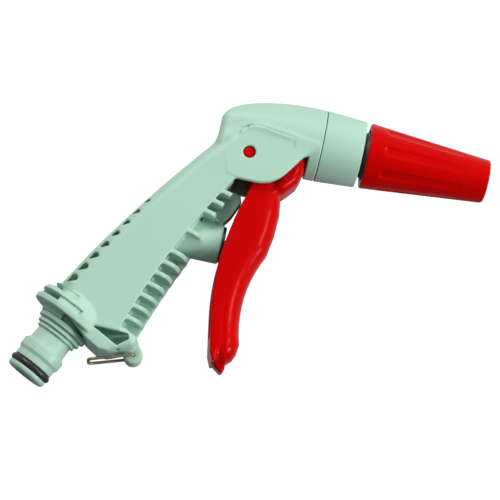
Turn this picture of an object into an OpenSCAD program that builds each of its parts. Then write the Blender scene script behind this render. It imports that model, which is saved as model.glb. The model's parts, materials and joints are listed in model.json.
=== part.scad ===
// Trigger spray gun for a garden hose, in millimetres.
// +X is the spray direction, +Z is up and Y = 0 is the plane of symmetry.
// The origin is the middle of the hose plug's locking shoulder, on the plug's axis.

/* [Hose plug and grip] */
// Lean of the plug's axis from the vertical, in degrees
tail_lean = 26; // [25:0.5:27]
// Radius of the plug's locking shoulder
plug_r = 8.7; // [8.6:0.05:8.8]
// Radius of the water way through the plug
plug_bore_r = 4.6; // [4.2:0.1:4.8]
// Radius of the round skirt at the foot of the grip
skirt_r = 15.6; // [15:0.1:16]
// Half width of the grip at its foot
grip_half_foot = 11.6; // [11.4:0.1:12]
// Number of pockets down each front side of the grip
front_pockets = 13; // [8:1:13]
// Number of pockets down each rear side of the grip
rear_pockets = 8; // [4:1:8]

/* [Head and barrel] */
// Height of the barrel's axis above the origin
barrel_z = 102.4; // [102:0.1:103]
// Outer radius of the barrel
barrel_r = 14; // [13.8:0.1:14.2]
// Where the barrel ends and the collar starts
seam_x = 87.4; // [87.2:0.1:88]
// Length of the collar
collar_len = 15.7; // [15:0.1:16]
// Outer radius of the outlet spigot
spigot_r = 9.03; // [8.9:0.01:9.05]

/* [Trigger] */
// Distance of the trigger's pivot from the origin, along the barrel
pivot_x = 60.4; // [60.2:0.1:60.6]
// Height of the trigger's pivot above the origin
pivot_z = 90.3; // [90.1:0.1:90.5]
// Radius of the pivot pin
pin_r = 2.35; // [2:0.05:2.4]
// Half width of the lever
lever_half = 10.2; // [10:0.1:10.3]
// Half width of the space inside the lever
lever_inner_half = 8.2; // [8:0.1:8.3]

/* [Valve] */
// Height of the valve's axis above the origin
valve_z = 55.4; // [55:0.1:56]
// Outer radius of the valve boss
boss_r = 7.65; // [7.5:0.05:7.7]
// Where the valve boss ends
boss_front_x = 57.25; // [57:0.05:57.4]
// Radius of the valve stem
stem_r = 2; // [1.8:0.05:2]

/* [Nozzle] */
// Where the spray nozzle starts
nozzle_x = 105.15; // [105:0.05:105.5]
// Length of the spray nozzle
nozzle_len = 48.25; // [48:0.25:49]
// Radius of the nozzle at its base
nozzle_base_r = 12.9; // [12.7:0.1:13.1]
// Radius of the nozzle at its tip
nozzle_tip_r = 8.45; // [8.3:0.05:8.6]
// Number of grip flutes round the nozzle
flutes = 8; // [6:1:9]

/* [Wire clip] */
// Distance of the clip's eye from the origin, along the barrel
clip_x = 33.6; // [33.4:0.1:33.8]
// Height of the clip's eye above the origin
clip_z = 6; // [5.8:0.1:6.2]
// Length of the clip, from its eye to its cross-bar
clip_len = 16.8; // [16.6:0.1:17]
// Radius of the clip's wire
wire_r = 0.6; // [0.5:0.05:0.65]

/* [Hidden] */
$fn = 64;

mint = [0.72, 0.86, 0.78];
red = [0.8, 0.02, 0.02];
rubber = [0.08, 0.08, 0.08];
dark_grey = [0.2, 0.22, 0.22];
brass = [0.75, 0.6, 0.3];
steel = [0.65, 0.65, 0.65];
acetal = [0.9, 0.9, 0.88];
zinc_wire = [0.5, 0.46, 0.34];

// Small amount by which cutters run past the faces they cut
past = 0.1;

// The head
cheek_half = 13.2;
slot_half = 11;
slot_top_z = 95.4;
slot_front_x = 83.4;
head_back_x = 47.6;
head_taper_r = 8.7;
head_taper_x = 79;
head_corner_r = 7;
pin_hub_r = 4.2;
pin_slot_r = 5.2;

// The front of the grip is an arc, and its fins fan out from the arc's centre
fan_centre = [281.9, -65.1];
fan_r = 267;
fan_foot = 17.4;
fan_top = 32.6;
fan_pitch = 1.12;
fin_bulge = 7;
fin_r = 12.14;
fin_t = 2.2;
fin_fillet = fin_r - fin_bulge;
spine_half = 3.6;
foot_block_t = 6;

// Rear of the grip, from foot to head
rear_foot = [1.5, 24.8];
rear_mid = [25.3, 63.3];
rear_top = [47.5, 93.6];

// Skirt, in heights up the plug's axis
skirt_base = 15.4;
skirt_rise = 18;
skirt_dome = 10.5;
// How far the grip's foot dips below the skirt
foot_dip = 2.1;

// Water ways
channel_r = 4.8;
channel_top = 58;
gasket_base = 26;
gasket_t = 1.2;
plug_neck_r = 7.5;
riser_r = 2.3;
riser_foot = [50.8, 57];
riser_head = [51.6, 101];
barrel_bore_r = 4.2;
barrel_bore_x = 49.4;

// Outlet spigot, from its neck in the barrel to its end inside the nozzle
neck_r = 5.6;
neck_x = 78.6;
neck_bore_r = 2.9;
spigot_x = 84.6;
spigot_end_x = 124;
spigot_bore_r = 6;
spigot_bore_x = 88.4;
spigot_seal_r = 0.85;
spigot_seal_x = 81.4;

// Valve, from its spring seat at the rear to the stem's tip at the front
spring_x = 29;
retainer_x = 42.2;
washer_x = 44.6;
seat_x = 46;
seat_len = 3.2;
gland_x = 54;
gland_lip = 1;
chamber_r = 5.2;
spring_seat_r = 3.6;
spring_seat_x = 24.5;
cartridge_r = 6.2;
stem_tip_x = 66.8;
stem_tail_x = 41.5;
run_gap = 0.05;
pad_r = 2;
pad_gap = 0.1;

// Inside the nozzle
nozzle_bore_r = spigot_r + 0.07;
nozzle_bore_end_x = 128;
orifice_r = 3.2;
orifice_x = 146.5;
outlet_r = 5;
outlet_depth = 3;
nozzle_tip_x = nozzle_x + nozzle_len;
nozzle_ring_x = 112.3;
nozzle_ring_r = 0.8;
core_r = 2.2;
core_head_r = 2.9;
core_end_x = 148.2;

// Wire clip
clip_half = 5.5;
clip_bend_r = 2;
clip_rest = -17.9;
clip_in_half = 1.8;
lug_r = 3.4;
lug_half = 4.8;

// Points on an arc, from angle a0 to angle a1
function arc(c, r, a0, a1, n) =
    [for (i = [0:n]) c + r * [cos(a0 + (a1 - a0) * i / n), sin(a0 + (a1 - a0) * i / n)]];

// Point on the fan at a lean, at a distance from the fan's centre
function fan_point(lean, r) = fan_centre + r * [-cos(lean), sin(lean)];

// Solid between two side planes at Y = -half and Y = +half
module plate(outline, half) {
    translate([0, half, 0])
        rotate([90, 0, 0])
            linear_extrude(2 * half)
                polygon(outline);
}

// Turned solid about the barrel's axis, from [radius, x] points
module turned_on_barrel(profile) {
    translate([0, 0, barrel_z])
        rotate([0, 90, 0])
            rotate_extrude()
                polygon(profile);
}

// Turned solid about the plug's axis, from [radius, height] points
module turned_on_plug(profile) {
    rotate([0, tail_lean, 0])
        rotate_extrude()
            polygon(profile);
}

// Turned solid about the valve's axis, from [radius, x] points
module turned_on_valve(profile) {
    translate([0, 0, valve_z])
        rotate([0, 90, 0])
            rotate_extrude()
                polygon(profile);
}

// Rod between two points of the XZ plane
module rod(from, to, r) {
    run = to - from;
    translate([from[0], 0, from[1]])
        rotate([0, atan2(run[0], run[1]), 0])
            cylinder(h = norm(run), r = r);
}

// Rubber ring about the Z axis
module ring(centre_r, section_r) {
    rotate_extrude()
        translate([centre_r, 0])
            circle(r = section_r, $fn = 24);
}

// Cross pin through the grip, along Y
module cross_pin(x, z, r, half) {
    translate([x, half, z])
        rotate([90, 0, 0])
            cylinder(h = 2 * half, r = r);
}

// ---- Grip and head ----

// Side outline of the grip with its cheeks
function grip_outline() = concat(
    [[4, 17], rear_foot, rear_mid, rear_top, [head_back_x, 97.5], [56, 99.5], [61, 101], [76, 99.2]],
    [[84.8, 98.4], [77, 86.8]],
    arc([68.2, 87.7], 8.6, -14, -90, 8),
    [[58, 79.2]],
    [for (i = [0:12]) fan_point(fan_top - (fan_top - fan_foot) * i / 12, fan_r)],
    [[27.5, 9]],
    [[24, 4.4], [20.5, 4.4], [15.5, 7.2]]
);

// Envelope that narrows the grip from its cheeks to its foot
module width_taper() {
    rotate([90, 0, 90])
        translate([0, 0, -30])
            linear_extrude(160)
                polygon([
                    [-grip_half_foot, -10], [grip_half_foot, -10], [grip_half_foot, 10],
                    [12.8, 60], [cheek_half, 80], [cheek_half, 120],
                    [-cheek_half, 120], [-cheek_half, 80], [-12.8, 60], [-grip_half_foot, 10]
                ]);
}

module head() {
    intersection() {
        turned_on_barrel([
            [0, head_back_x], [head_taper_r, head_back_x],
            [barrel_r, head_taper_x], [barrel_r, seam_x], [0, seam_x]
        ]);
        plate(concat(
            [[head_back_x, 80], [seam_x, 80], [seam_x, 120]],
            arc([head_back_x + head_corner_r, 106.2], head_corner_r, 90, 180, 8)
        ), barrel_r + 1);
    }
}

// One round fin slice, standing across the grip's front
module fin(lean, thick) {
    at = fan_point(lean, fan_r);
    translate([at[0], 0, at[1]])
        rotate([0, lean, 0])
            intersection() {
                translate([-fin_fillet, 0, -thick / 2])
                    cylinder(h = thick, r = fin_r);
                translate([-1, -fin_r, -thick])
                    cube([fin_r, 2 * fin_r, 2 * thick]);
            }
}

module front_fins() {
    for (i = [0:front_pockets])
        fin(fan_foot - 0.24 + fan_pitch * i, fin_t);
    fin(fan_foot - 0.65, foot_block_t);
    plate(concat(
        [for (i = [0:12]) fan_point(fan_foot + (fan_top - 1.2 - fan_foot) * i / 12, fan_r - fin_bulge)],
        [for (i = [12:-1:0]) fan_point(fan_foot + (fan_top - 1.2 - fan_foot) * i / 12, fan_r + 1)]
    ), spine_half);
}

module skirt() {
    turned_on_plug(concat(
        [[0, skirt_base], [skirt_r - 0.6, skirt_base], [skirt_r, skirt_base + 0.6]],
        [for (a = [0:8:64]) [skirt_r * cos(a), skirt_rise + skirt_dome * sin(a)]],
        [[0, 27.5]]
    ));
}

// Two deep slots across the rear of the skirt
module skirt_slots() {
    slot_h = 2.1;
    rotate([0, tail_lean, 0])
        for (h = [17.8, 22.0])
            translate([-skirt_r - 2, -skirt_r, h])
                cube([8.6, 2 * skirt_r, slot_h]);
}

// Leaf-shaped pockets down both rear edges, smaller towards the head
module rear_pocket_row() {
    run = rear_mid - rear_foot;
    lean = atan2(run[0], run[1]);
    for (i = [0:rear_pockets - 1], side = [-1, 1]) {
        size = 4.2 - 0.42 * i;
        at = rear_foot + run * (0.1 + 0.125 * i);
        translate([at[0], side * (grip_half_foot - 0.2), at[1]])
            rotate([0, lean, 0])
                translate([-1, -size, 0])
                    cube([size, 2 * size, size * 0.75]);
    }
}

// Blind triangular pockets beside the clip's lug
module foot_pockets() {
    depth = 5;
    for (side = [-1, 1])
        translate([0, side * (grip_half_foot - depth / 2 + 0.5), 0])
            plate([[17.6, 12.5], [29.4, 12.2], [30, 10.8], [26.9, 7.6]], depth / 2 + 0.5);
}

// Space between the cheeks for the trigger, and where its sides sweep past the fins
module trigger_space() {
    plate([
        [56.2, 88], [pivot_x, slot_top_z], [slot_front_x, slot_top_z],
        [slot_front_x, 70], [57, 70], [57, 80]
    ], slot_half);
    cross_pin(pivot_x, pivot_z, pin_slot_r, slot_half);
    difference() {
        plate([
            [61.2, 81], [55.8, 69.9], [53.1, 64.1], [50.1, 57.2], [47.6, 51], [45.7, 43],
            [62, 43], [66, 81]
        ], slot_half);
        plate([[40, 40], [70, 40], [70, 90], [40, 90]], boss_r + run_gap);
    }
}

module water_ways() {
    rotate([0, tail_lean, 0]) {
        translate([0, 0, skirt_base - foot_dip])
            cylinder(h = gasket_base + gasket_t - skirt_base + foot_dip, r = plug_neck_r);
        translate([0, 0, gasket_base])
            cylinder(h = channel_top - gasket_base, r = channel_r);
    }
    turned_on_valve([
        [0, spring_seat_x], [spring_seat_r, spring_seat_x], [spring_seat_r, spring_x],
        [chamber_r, spring_x], [chamber_r, seat_x], [cartridge_r, seat_x],
        [cartridge_r, boss_front_x + past], [0, boss_front_x + past]
    ]);
    rod(riser_foot, riser_head, riser_r);
    turned_on_barrel([
        [0, barrel_bore_x], [barrel_bore_r, barrel_bore_x], [barrel_bore_r, neck_x],
        [neck_r, neck_x], [neck_r, spigot_x], [spigot_r, spigot_x],
        [spigot_r, seam_x + past], [0, seam_x + past]
    ]);
}

module body_shell() {
    color(mint)
        difference() {
            union() {
                head();
                intersection() {
                    plate(grip_outline(), cheek_half + 1);
                    width_taper();
                }
                front_fins();
                skirt();
                rod([36, valve_z], [boss_front_x, valve_z], boss_r);
                cross_pin(clip_x, clip_z, lug_r, lug_half);
                plate([[29, 9.5], [34, 11], [clip_x + lug_r, clip_z], [30.4, 5]], lug_half);
            }
            trigger_space();
            water_ways();
            skirt_slots();
            rear_pocket_row();
            foot_pockets();
            cross_pin(pivot_x, pivot_z, pin_r, cheek_half + past);
            cross_pin(clip_x, clip_z, wire_r + 0.06, lug_half + past);
        }
}

// ---- Hose plug ----

module inlet_plug() {
    groove_r = 6.05;
    color(mint)
        turned_on_plug([
            [plug_bore_r, -10.2], [7.2, -10.2], [7.95, -9.4], [7.95, -8.1], [groove_r, -8.1],
            [groove_r, -5.3], [7.95, -5.3], [7.95, -2.8], [plug_r, -1.5], [plug_r, 1.5],
            [7.1, 7.4], [8.3, 7.9], [8.3, 8.9], [7.7, 9.2], [9.3, 9.5], [9.3, 10.7],
            [8.2, 11], [10.3, 11.5], [10.3, 13.3], [plug_neck_r, 13.7],
            [plug_neck_r, gasket_base], [plug_bore_r, gasket_base]
        ]);
}

module inlet_o_ring() {
    color(rubber)
        rotate([0, tail_lean, 0])
            translate([0, 0, -6.7])
                ring(7.3, 1.25);
}

module plug_gasket() {
    color(rubber)
        turned_on_plug([
            [plug_bore_r, gasket_base], [plug_neck_r, gasket_base],
            [plug_neck_r, gasket_base + gasket_t], [plug_bore_r, gasket_base + gasket_t]
        ]);
}

// ---- Barrel ----

module barrel_collar() {
    collar_front_x = seam_x + collar_len;
    bevel = 0.6;
    color(mint)
        turned_on_barrel([
            [spigot_r, seam_x], [barrel_r, seam_x], [barrel_r - 1 + 0.06, collar_front_x - bevel],
            [barrel_r - 1 - bevel, collar_front_x], [spigot_r, collar_front_x]
        ]);
}

module outlet_spigot() {
    color(dark_grey)
        turned_on_barrel([
            [neck_bore_r, neck_x], [neck_r, neck_x], [neck_r, spigot_seal_x - spigot_seal_r],
            [neck_r - 2 * spigot_seal_r, spigot_seal_x - spigot_seal_r],
            [neck_r - 2 * spigot_seal_r, spigot_seal_x + spigot_seal_r],
            [neck_r, spigot_seal_x + spigot_seal_r], [neck_r, spigot_x], [spigot_r, spigot_x],
            [spigot_r, spigot_end_x], [spigot_bore_r, spigot_end_x],
            [spigot_bore_r, spigot_bore_x], [neck_bore_r, spigot_bore_x]
        ]);
}

module spigot_seal() {
    color(rubber)
        translate([spigot_seal_x, 0, barrel_z])
            rotate([0, 90, 0])
                ring(neck_r - spigot_seal_r, spigot_seal_r);
}

// Core with a foot of three water holes and a tapered head
module spray_core() {
    foot_t = 4;
    hole_r = 1.2;
    color(acetal)
        difference() {
            turned_on_barrel([
                [0, spigot_bore_x], [spigot_bore_r, spigot_bore_x],
                [spigot_bore_r, spigot_bore_x + foot_t], [core_r, spigot_bore_x + foot_t + 2],
                [core_r, orifice_x - 4], [core_head_r, orifice_x], [core_head_r, core_end_x - 1],
                [1.4, core_end_x], [0, core_end_x]
            ]);
            for (a = [0:120:240])
                translate([spigot_bore_x - past, 0, barrel_z])
                    rotate([a, 0, 0])
                        translate([0, 0, 4.2])
                            rotate([0, 90, 0])
                                cylinder(h = foot_t + 3, r = hole_r);
        }
}

// ---- Nozzle ----

function nozzle_r(x) =
    nozzle_base_r + (nozzle_tip_r - nozzle_base_r) * (x - nozzle_x) / nozzle_len;

// One long shallow flute, sunk in the nozzle's side
module flute() {
    flute_r = 5.5;
    depth = 0.6;
    from_x = nozzle_x + 6;
    to_x = nozzle_x + 38.5;
    from = [from_x, nozzle_r(from_x) + flute_r - depth];
    to = [to_x, nozzle_r(to_x) + flute_r - depth];
    rod(from, to, flute_r);
}

module nozzle_sleeve() {
    groove_r = nozzle_bore_r + 2 * nozzle_ring_r;
    groove_half = nozzle_ring_r + run_gap;
    color(red)
        difference() {
            turned_on_barrel([
                [nozzle_bore_r, nozzle_x], [nozzle_base_r - 0.5, nozzle_x],
                [nozzle_base_r, nozzle_x + 0.5], [nozzle_tip_r, nozzle_tip_x - 0.4],
                [nozzle_tip_r - 0.4, nozzle_tip_x], [outlet_r, nozzle_tip_x],
                [outlet_r, nozzle_tip_x - outlet_depth], [orifice_r, nozzle_tip_x - outlet_depth],
                [orifice_r, orifice_x], [6, 140], [nozzle_bore_r - 1, nozzle_bore_end_x],
                [nozzle_bore_r, nozzle_bore_end_x],
                [nozzle_bore_r, nozzle_ring_x + groove_half], [groove_r, nozzle_ring_x + groove_half],
                [groove_r, nozzle_ring_x - groove_half], [nozzle_bore_r, nozzle_ring_x - groove_half]
            ]);
            for (i = [0:flutes - 1])
                translate([0, 0, barrel_z])
                    rotate([90 + i * 360 / flutes, 0, 0])
                        flute();
        }
}

module nozzle_o_ring() {
    color(rubber)
        translate([nozzle_ring_x, 0, barrel_z])
            rotate([0, 90, 0])
                ring(spigot_r + 0.02 + nozzle_ring_r, nozzle_ring_r);
}

// ---- Valve ----

module valve_seat() {
    seat_bore_r = 3;
    ring_r = 0.6;
    color(acetal)
        turned_on_valve([
            [seat_bore_r, seat_x], [cartridge_r, seat_x],
            [cartridge_r, seat_x + 1], [cartridge_r - 2 * ring_r, seat_x + 1],
            [cartridge_r - 2 * ring_r, seat_x + 2.2], [cartridge_r, seat_x + 2.2],
            [cartridge_r, seat_x + seat_len], [seat_bore_r, seat_x + seat_len]
        ]);
}

module seat_o_ring() {
    color(rubber)
        translate([seat_x + 1.6, 0, valve_z])
            rotate([0, 90, 0])
                ring(cartridge_r - 0.6, 0.6);
}

module gland_nut() {
    lip_r = 7;
    packing_r = 4.2;
    color(rubber)
        turned_on_valve([
            [stem_r + run_gap, gland_x + 1.9], [packing_r, gland_x + 1.9], [packing_r, gland_x],
            [cartridge_r, gland_x], [cartridge_r, boss_front_x], [lip_r, boss_front_x],
            [lip_r, boss_front_x + gland_lip], [stem_r + run_gap, boss_front_x + gland_lip]
        ]);
}

module gland_o_ring() {
    color(rubber)
        translate([gland_x + 0.95, 0, valve_z])
            rotate([0, 90, 0])
                ring(stem_r + run_gap + 0.9, 0.9);
}

module valve_stem() {
    tail_r = 1.5;
    color(brass)
        turned_on_valve([
            [0, stem_tail_x], [tail_r, stem_tail_x], [tail_r, seat_x], [stem_r, seat_x + 0.5],
            [stem_r, stem_tip_x - 0.5], [stem_r - 0.5, stem_tip_x], [0, stem_tip_x]
        ]);
}

module valve_washer() {
    color(rubber)
        turned_on_valve([[1.5, washer_x], [4.5, washer_x], [4.5, seat_x - 0.05], [1.5, seat_x - 0.05]]);
}

module washer_retainer() {
    color(brass)
        turned_on_valve([[1.5, retainer_x], [3.6, retainer_x], [3.6, washer_x], [1.5, washer_x]]);
}

// Closed coil spring about the valve's axis
module return_spring() {
    coils = 5.5;
    steps = 24;
    sides = 8;
    coil_r = 3;
    spring_wire_r = 0.45;
    length = retainer_x - spring_x - 2 * spring_wire_r - 0.1;
    rings = round(coils * steps);
    function centre(i) = let (a = 360 * coils * i / rings)
        [spring_x + spring_wire_r + 0.05 + length * i / rings, coil_r * cos(a), valve_z + coil_r * sin(a)];
    function section(i) = let (a = 360 * coils * i / rings, out = [0, cos(a), sin(a)])
        [for (k = [0:sides - 1]) let (b = 360 * k / sides)
            centre(i) + spring_wire_r * (cos(b) * out + [sin(b), 0, 0])];
    points = [for (i = [0:rings]) each section(i)];
    walls = [for (i = [0:rings - 1], k = [0:sides - 1]) let (n = (k + 1) % sides, a = i * sides)
        [a + k, a + n, a + sides + n, a + sides + k]];
    start = [for (k = [sides - 1:-1:0]) k];
    end = [for (k = [0:sides - 1]) rings * sides + k];
    color(steel)
        polyhedron(points = points, faces = concat([start], walls, [end]));
}

// ---- Trigger ----

// Front edge of the lever, from its root to its tip, set back by an inset
function lever_front(inset) = concat(
    [[82.2 - inset, 94], [82.6 - inset, 92.6], [82.2 - inset, 86.4], [80.4 - inset, 81]],
    [[76.4 - inset, 75.9], [76.9 - inset, 70.5], [76.5 - inset, 62]],
    arc([119.6 - inset, 32], 49.8, 153, 196, 10),
    [[71.3 - inset, 14.6], [70.2 - inset, 12.2]]
);

// Side outline of the lever, with its front set back by an inset
function lever_outline(inset) = concat(
    [[pivot_x, 94.4]], lever_front(inset),
    [[67.6 - inset / 2, 9.8], [62.4, 9.2], [61, 13], [59.2, 24], [57.9, 33], [57.4, 43]],
    [[58, 52], [59.8, 63], [61.2, 69.4], [64, 80], [58.8, 86.6]]
);

module trigger() {
    pad_x = stem_tip_x + pad_gap + pad_r;
    front_wall = 2.4;
    color(red)
        difference() {
            union() {
                plate(lever_outline(0), lever_half - 3);
                plate(lever_outline(1.2), lever_half - 1.2);
                plate(lever_outline(3.6), lever_half);
                plate([[67.9, 10], [68, 8.2], [67.4, 6.6], [66.6, 6.4], [63.4, 8.4], [63, 10]], 4.2);
                cross_pin(pivot_x, pivot_z, pin_hub_r, lever_half);
            }
            difference() {
                plate(concat(
                    [[40, 76], [76.4 - front_wall, 74]],
                    [[76.9 - front_wall, 70.5], [76.5 - front_wall, 62]],
                    arc([119.6 - front_wall, 32], 49.8, 153, 194, 10),
                    [[40, 16]]
                ), lever_inner_half);
                cross_pin(pad_x, valve_z, pad_r, 4);
                plate([[pad_x, valve_z - 1.6], [78, valve_z - 1.6], [78, valve_z + 1.6], [pad_x, valve_z + 1.6]], 1.5);
            }
            cross_pin(pivot_x, pivot_z, pin_r + run_gap, lever_half + past);
        }
}

module trigger_pin() {
    color(red)
        cross_pin(pivot_x, pivot_z, pin_r, cheek_half);
}

// ---- Wire clip ----

module lock_clip() {
    leg_len = clip_len - clip_bend_r;
    bar_half = clip_half - clip_bend_r;
    color(zinc_wire)
        translate([clip_x, 0, clip_z])
            rotate([0, clip_rest, 0]) {
                for (side = [-1, 1]) {
                    translate([0, side * clip_in_half, 0])
                        rotate([-side * 90, 0, 0])
                            cylinder(h = clip_half - clip_in_half, r = wire_r);
                    translate([0, side * clip_half, 0])
                        sphere(r = wire_r);
                    translate([0, side * clip_half, 0])
                        rotate([0, -90, 0])
                            cylinder(h = leg_len, r = wire_r);
                    translate([-leg_len, side * bar_half, 0])
                        rotate([0, 0, side > 0 ? 90 : 180])
                            rotate_extrude(angle = 90)
                                translate([clip_bend_r, 0])
                                    circle(r = wire_r, $fn = 24);
                }
                translate([-clip_len, bar_half, 0])
                    rotate([90, 0, 0])
                        cylinder(h = 2 * bar_half, r = wire_r);
            }
}

body_shell();
inlet_plug();
inlet_o_ring();
plug_gasket();
trigger_pin();
barrel_collar();
outlet_spigot();
spigot_seal();
spray_core();
valve_seat();
seat_o_ring();
gland_nut();
gland_o_ring();
return_spring();
trigger();
valve_stem();
valve_washer();
washer_retainer();
nozzle_o_ring();
nozzle_sleeve();
lock_clip();
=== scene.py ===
"""Looks of a trigger spray gun for a garden hose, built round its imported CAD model.

Lengths are in millimetres until a mesh is made, and in metres in the scene.
+X is the spray direction, +Z is up, Y = 0 is the plane of symmetry, and the origin is the
middle of the hose plug's locking shoulder. Outlines are [x, z] points in the XZ plane.
"""

import json
import math

import bpy
import numpy as np
from mathutils import Matrix, Vector


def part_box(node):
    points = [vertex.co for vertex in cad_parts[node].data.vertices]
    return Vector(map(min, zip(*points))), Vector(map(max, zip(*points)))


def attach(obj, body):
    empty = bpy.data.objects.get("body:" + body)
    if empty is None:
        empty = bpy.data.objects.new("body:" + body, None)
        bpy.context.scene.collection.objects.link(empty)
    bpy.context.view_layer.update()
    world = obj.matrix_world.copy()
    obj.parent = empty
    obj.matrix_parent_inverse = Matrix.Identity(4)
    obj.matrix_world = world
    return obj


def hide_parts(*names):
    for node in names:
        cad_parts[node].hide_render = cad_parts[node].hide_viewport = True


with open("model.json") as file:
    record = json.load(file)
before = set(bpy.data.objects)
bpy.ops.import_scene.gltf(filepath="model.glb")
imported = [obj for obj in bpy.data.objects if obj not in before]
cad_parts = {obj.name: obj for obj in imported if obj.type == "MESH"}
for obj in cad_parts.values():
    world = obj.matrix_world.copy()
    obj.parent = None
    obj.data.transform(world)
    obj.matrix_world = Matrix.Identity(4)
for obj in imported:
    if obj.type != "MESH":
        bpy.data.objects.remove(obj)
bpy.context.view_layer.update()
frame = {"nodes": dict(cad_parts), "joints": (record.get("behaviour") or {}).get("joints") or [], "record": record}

MM = 0.001

# ---- Places taken from the frame ----

JOINTS = {joint["name"]: joint for joint in frame["joints"]}
MOUNTS = {mount["name"]: mount for mount in frame["record"]["mounts"]}


def corners(node):
    """Lowest and highest corner of a CAD node, in millimetres."""
    low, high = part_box(node)
    return np.array(low) / MM, np.array(high) / MM


def joint_place(name):
    """[x, z] of a hinge, in millimetres."""
    place = JOINTS[name]["pos_m"]
    return np.array([place[0], place[2]]) / MM


PIVOT = joint_place("trigger_pull")
CLIP_EYE = joint_place("clip_swing")
BARREL_Z = joint_place("nozzle_twist")[1]
PLUG_DOWN = MOUNTS["hose_plug"]["axis"]
LEAN = math.atan2(-PLUG_DOWN[0], -PLUG_DOWN[2])
PLUG_R = MOUNTS["hose_plug"]["dims"]["r_mm"]
PLUG_BORE_R = MOUNTS["inlet_bore"]["dims"]["r_mm"]
SEAM_X, COLLAR_END_X = (corner[0] for corner in corners("barrel_collar"))
NOZZLE_X, TIP_X = (corner[0] for corner in corners("nozzle_sleeve"))
NOZZLE_R = corners("nozzle_sleeve")[1][1]
SPIGOT_R = corners("outlet_spigot")[1][1]
SPIGOT_X, SPIGOT_END_X = (corner[0] for corner in corners("outlet_spigot"))
VALVE_Z = (corners("valve_stem")[0][2] + corners("valve_stem")[1][2]) / 2
STEM_TIP_X = corners("valve_stem")[1][0]
GLAND_END_X = corners("gland_nut")[1][0]
PIN_R = (corners("trigger_pin")[1][0] - corners("trigger_pin")[0][0]) / 2
CHEEK_HALF = corners("trigger_pin")[1][1]  # the CAD pin ends flush with the cheeks
LEVER_HALF = corners("trigger")[1][1]
BARREL_R = corners("barrel_collar")[1][1]

# ---- Shapes that the frame only holds as surfaces ----

SKIRT_R = 15.6
SKIRT_BASE = 15.4
SKIRT_RISE = 18
SKIRT_DOME = 10.5
SKIRT_CORE_R = 8.2
SKIRT_SLOT_HALF = 1.1

# The grip's front edge is an arc, and the fins stand at even steps along it.
FAN_CENTRE = (281.9, -65.1)
FAN_R = 267
FAN_FOOT = math.radians(17.4)
FAN_TOP = math.radians(32.6)
FIN_PITCH = 5.02
FIN_HALF = 0.82
FIN_FIRST = 3.9
FIN_BULGE = 6.8
FIN_DROOP = 0.17
FIN_OUTLINE_POWER = 2.5
FINS = [0, 1, 2, 3, 4, 5, 6, 8, 10, 11, 12]  # 7 and 9 are left out beside the valve's boss
WEB_HALF = 0.9

HEAD_BACK_X = 47.5
HEAD_CROWN_X = 84
HEAD_ARCH_POWER = 2.3
BLOCK_HALF = 3.6
BOSS_R = 7.65
BOSS_END_X = GLAND_END_X - 1
RISER_X = 51.2
RISER_R = 2.3
SEAM_GAP = 0.12
SLOT_HALF = 11
SWING_GAP = 0.35
LEVER_INNER_HALF = 8.2
LEVER_WALL = 2.4
LEVER_ARC_CENTRE = (119.6, 32)
LEVER_ARC_R = 49.8
NOZZLE_TIP_R = 8.45
NOZZLE_FLUTES = 8
WIRE_R = 0.6
WIRE_HOLE_R = 0.66
LUG_R = 3.4
LUG_HALF = 4.8
CLIP_REST = math.radians(197.9)
BODY_TRIANGLES = 190000
LEVER_TRIANGLES = 150000

# ---- Camera, light and floor ----

LENS = 122.4
CAMERA_PLACE = (0.04902, -0.63287, -0.09663)
CAMERA_RISE = math.radians(13.537)
CAMERA_TURN = math.radians(-1.767)
CAMERA_ROLL = math.radians(11.644)


def add_camera():
    """A camera a little below the gun: it looks up at its right side, and its roll dips the barrel."""
    forward = Vector((
        -math.sin(CAMERA_TURN) * math.cos(CAMERA_RISE),
        math.cos(CAMERA_TURN) * math.cos(CAMERA_RISE),
        math.sin(CAMERA_RISE),
    ))
    level = Vector((math.cos(CAMERA_TURN), math.sin(CAMERA_TURN), 0))
    upright = level.cross(forward)
    right = math.cos(CAMERA_ROLL) * level + math.sin(CAMERA_ROLL) * upright
    up = -math.sin(CAMERA_ROLL) * level + math.cos(CAMERA_ROLL) * upright
    data = bpy.data.cameras.new("camera")
    data.lens = LENS
    data.clip_start = 0.01
    camera = bpy.data.objects.new("camera", data)
    turn = Matrix((right, up, -forward)).transposed().to_4x4()
    camera.matrix_world = Matrix.Translation(CAMERA_PLACE) @ turn
    bpy.context.scene.collection.objects.link(camera)
    bpy.context.scene.camera = camera


def add_area_light(name, place, size, watts, colour):
    """A square soft box that faces the middle of the gun."""
    data = bpy.data.lights.new(name, "AREA")
    data.size = size
    data.energy = watts
    data.color = colour
    light = bpy.data.objects.new(name, data)
    aim = Vector((0.07, 0, 0.055))
    light.location = place
    light.rotation_euler = (aim - Vector(place)).to_track_quat("-Z", "Y").to_euler()
    bpy.context.scene.collection.objects.link(light)


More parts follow.
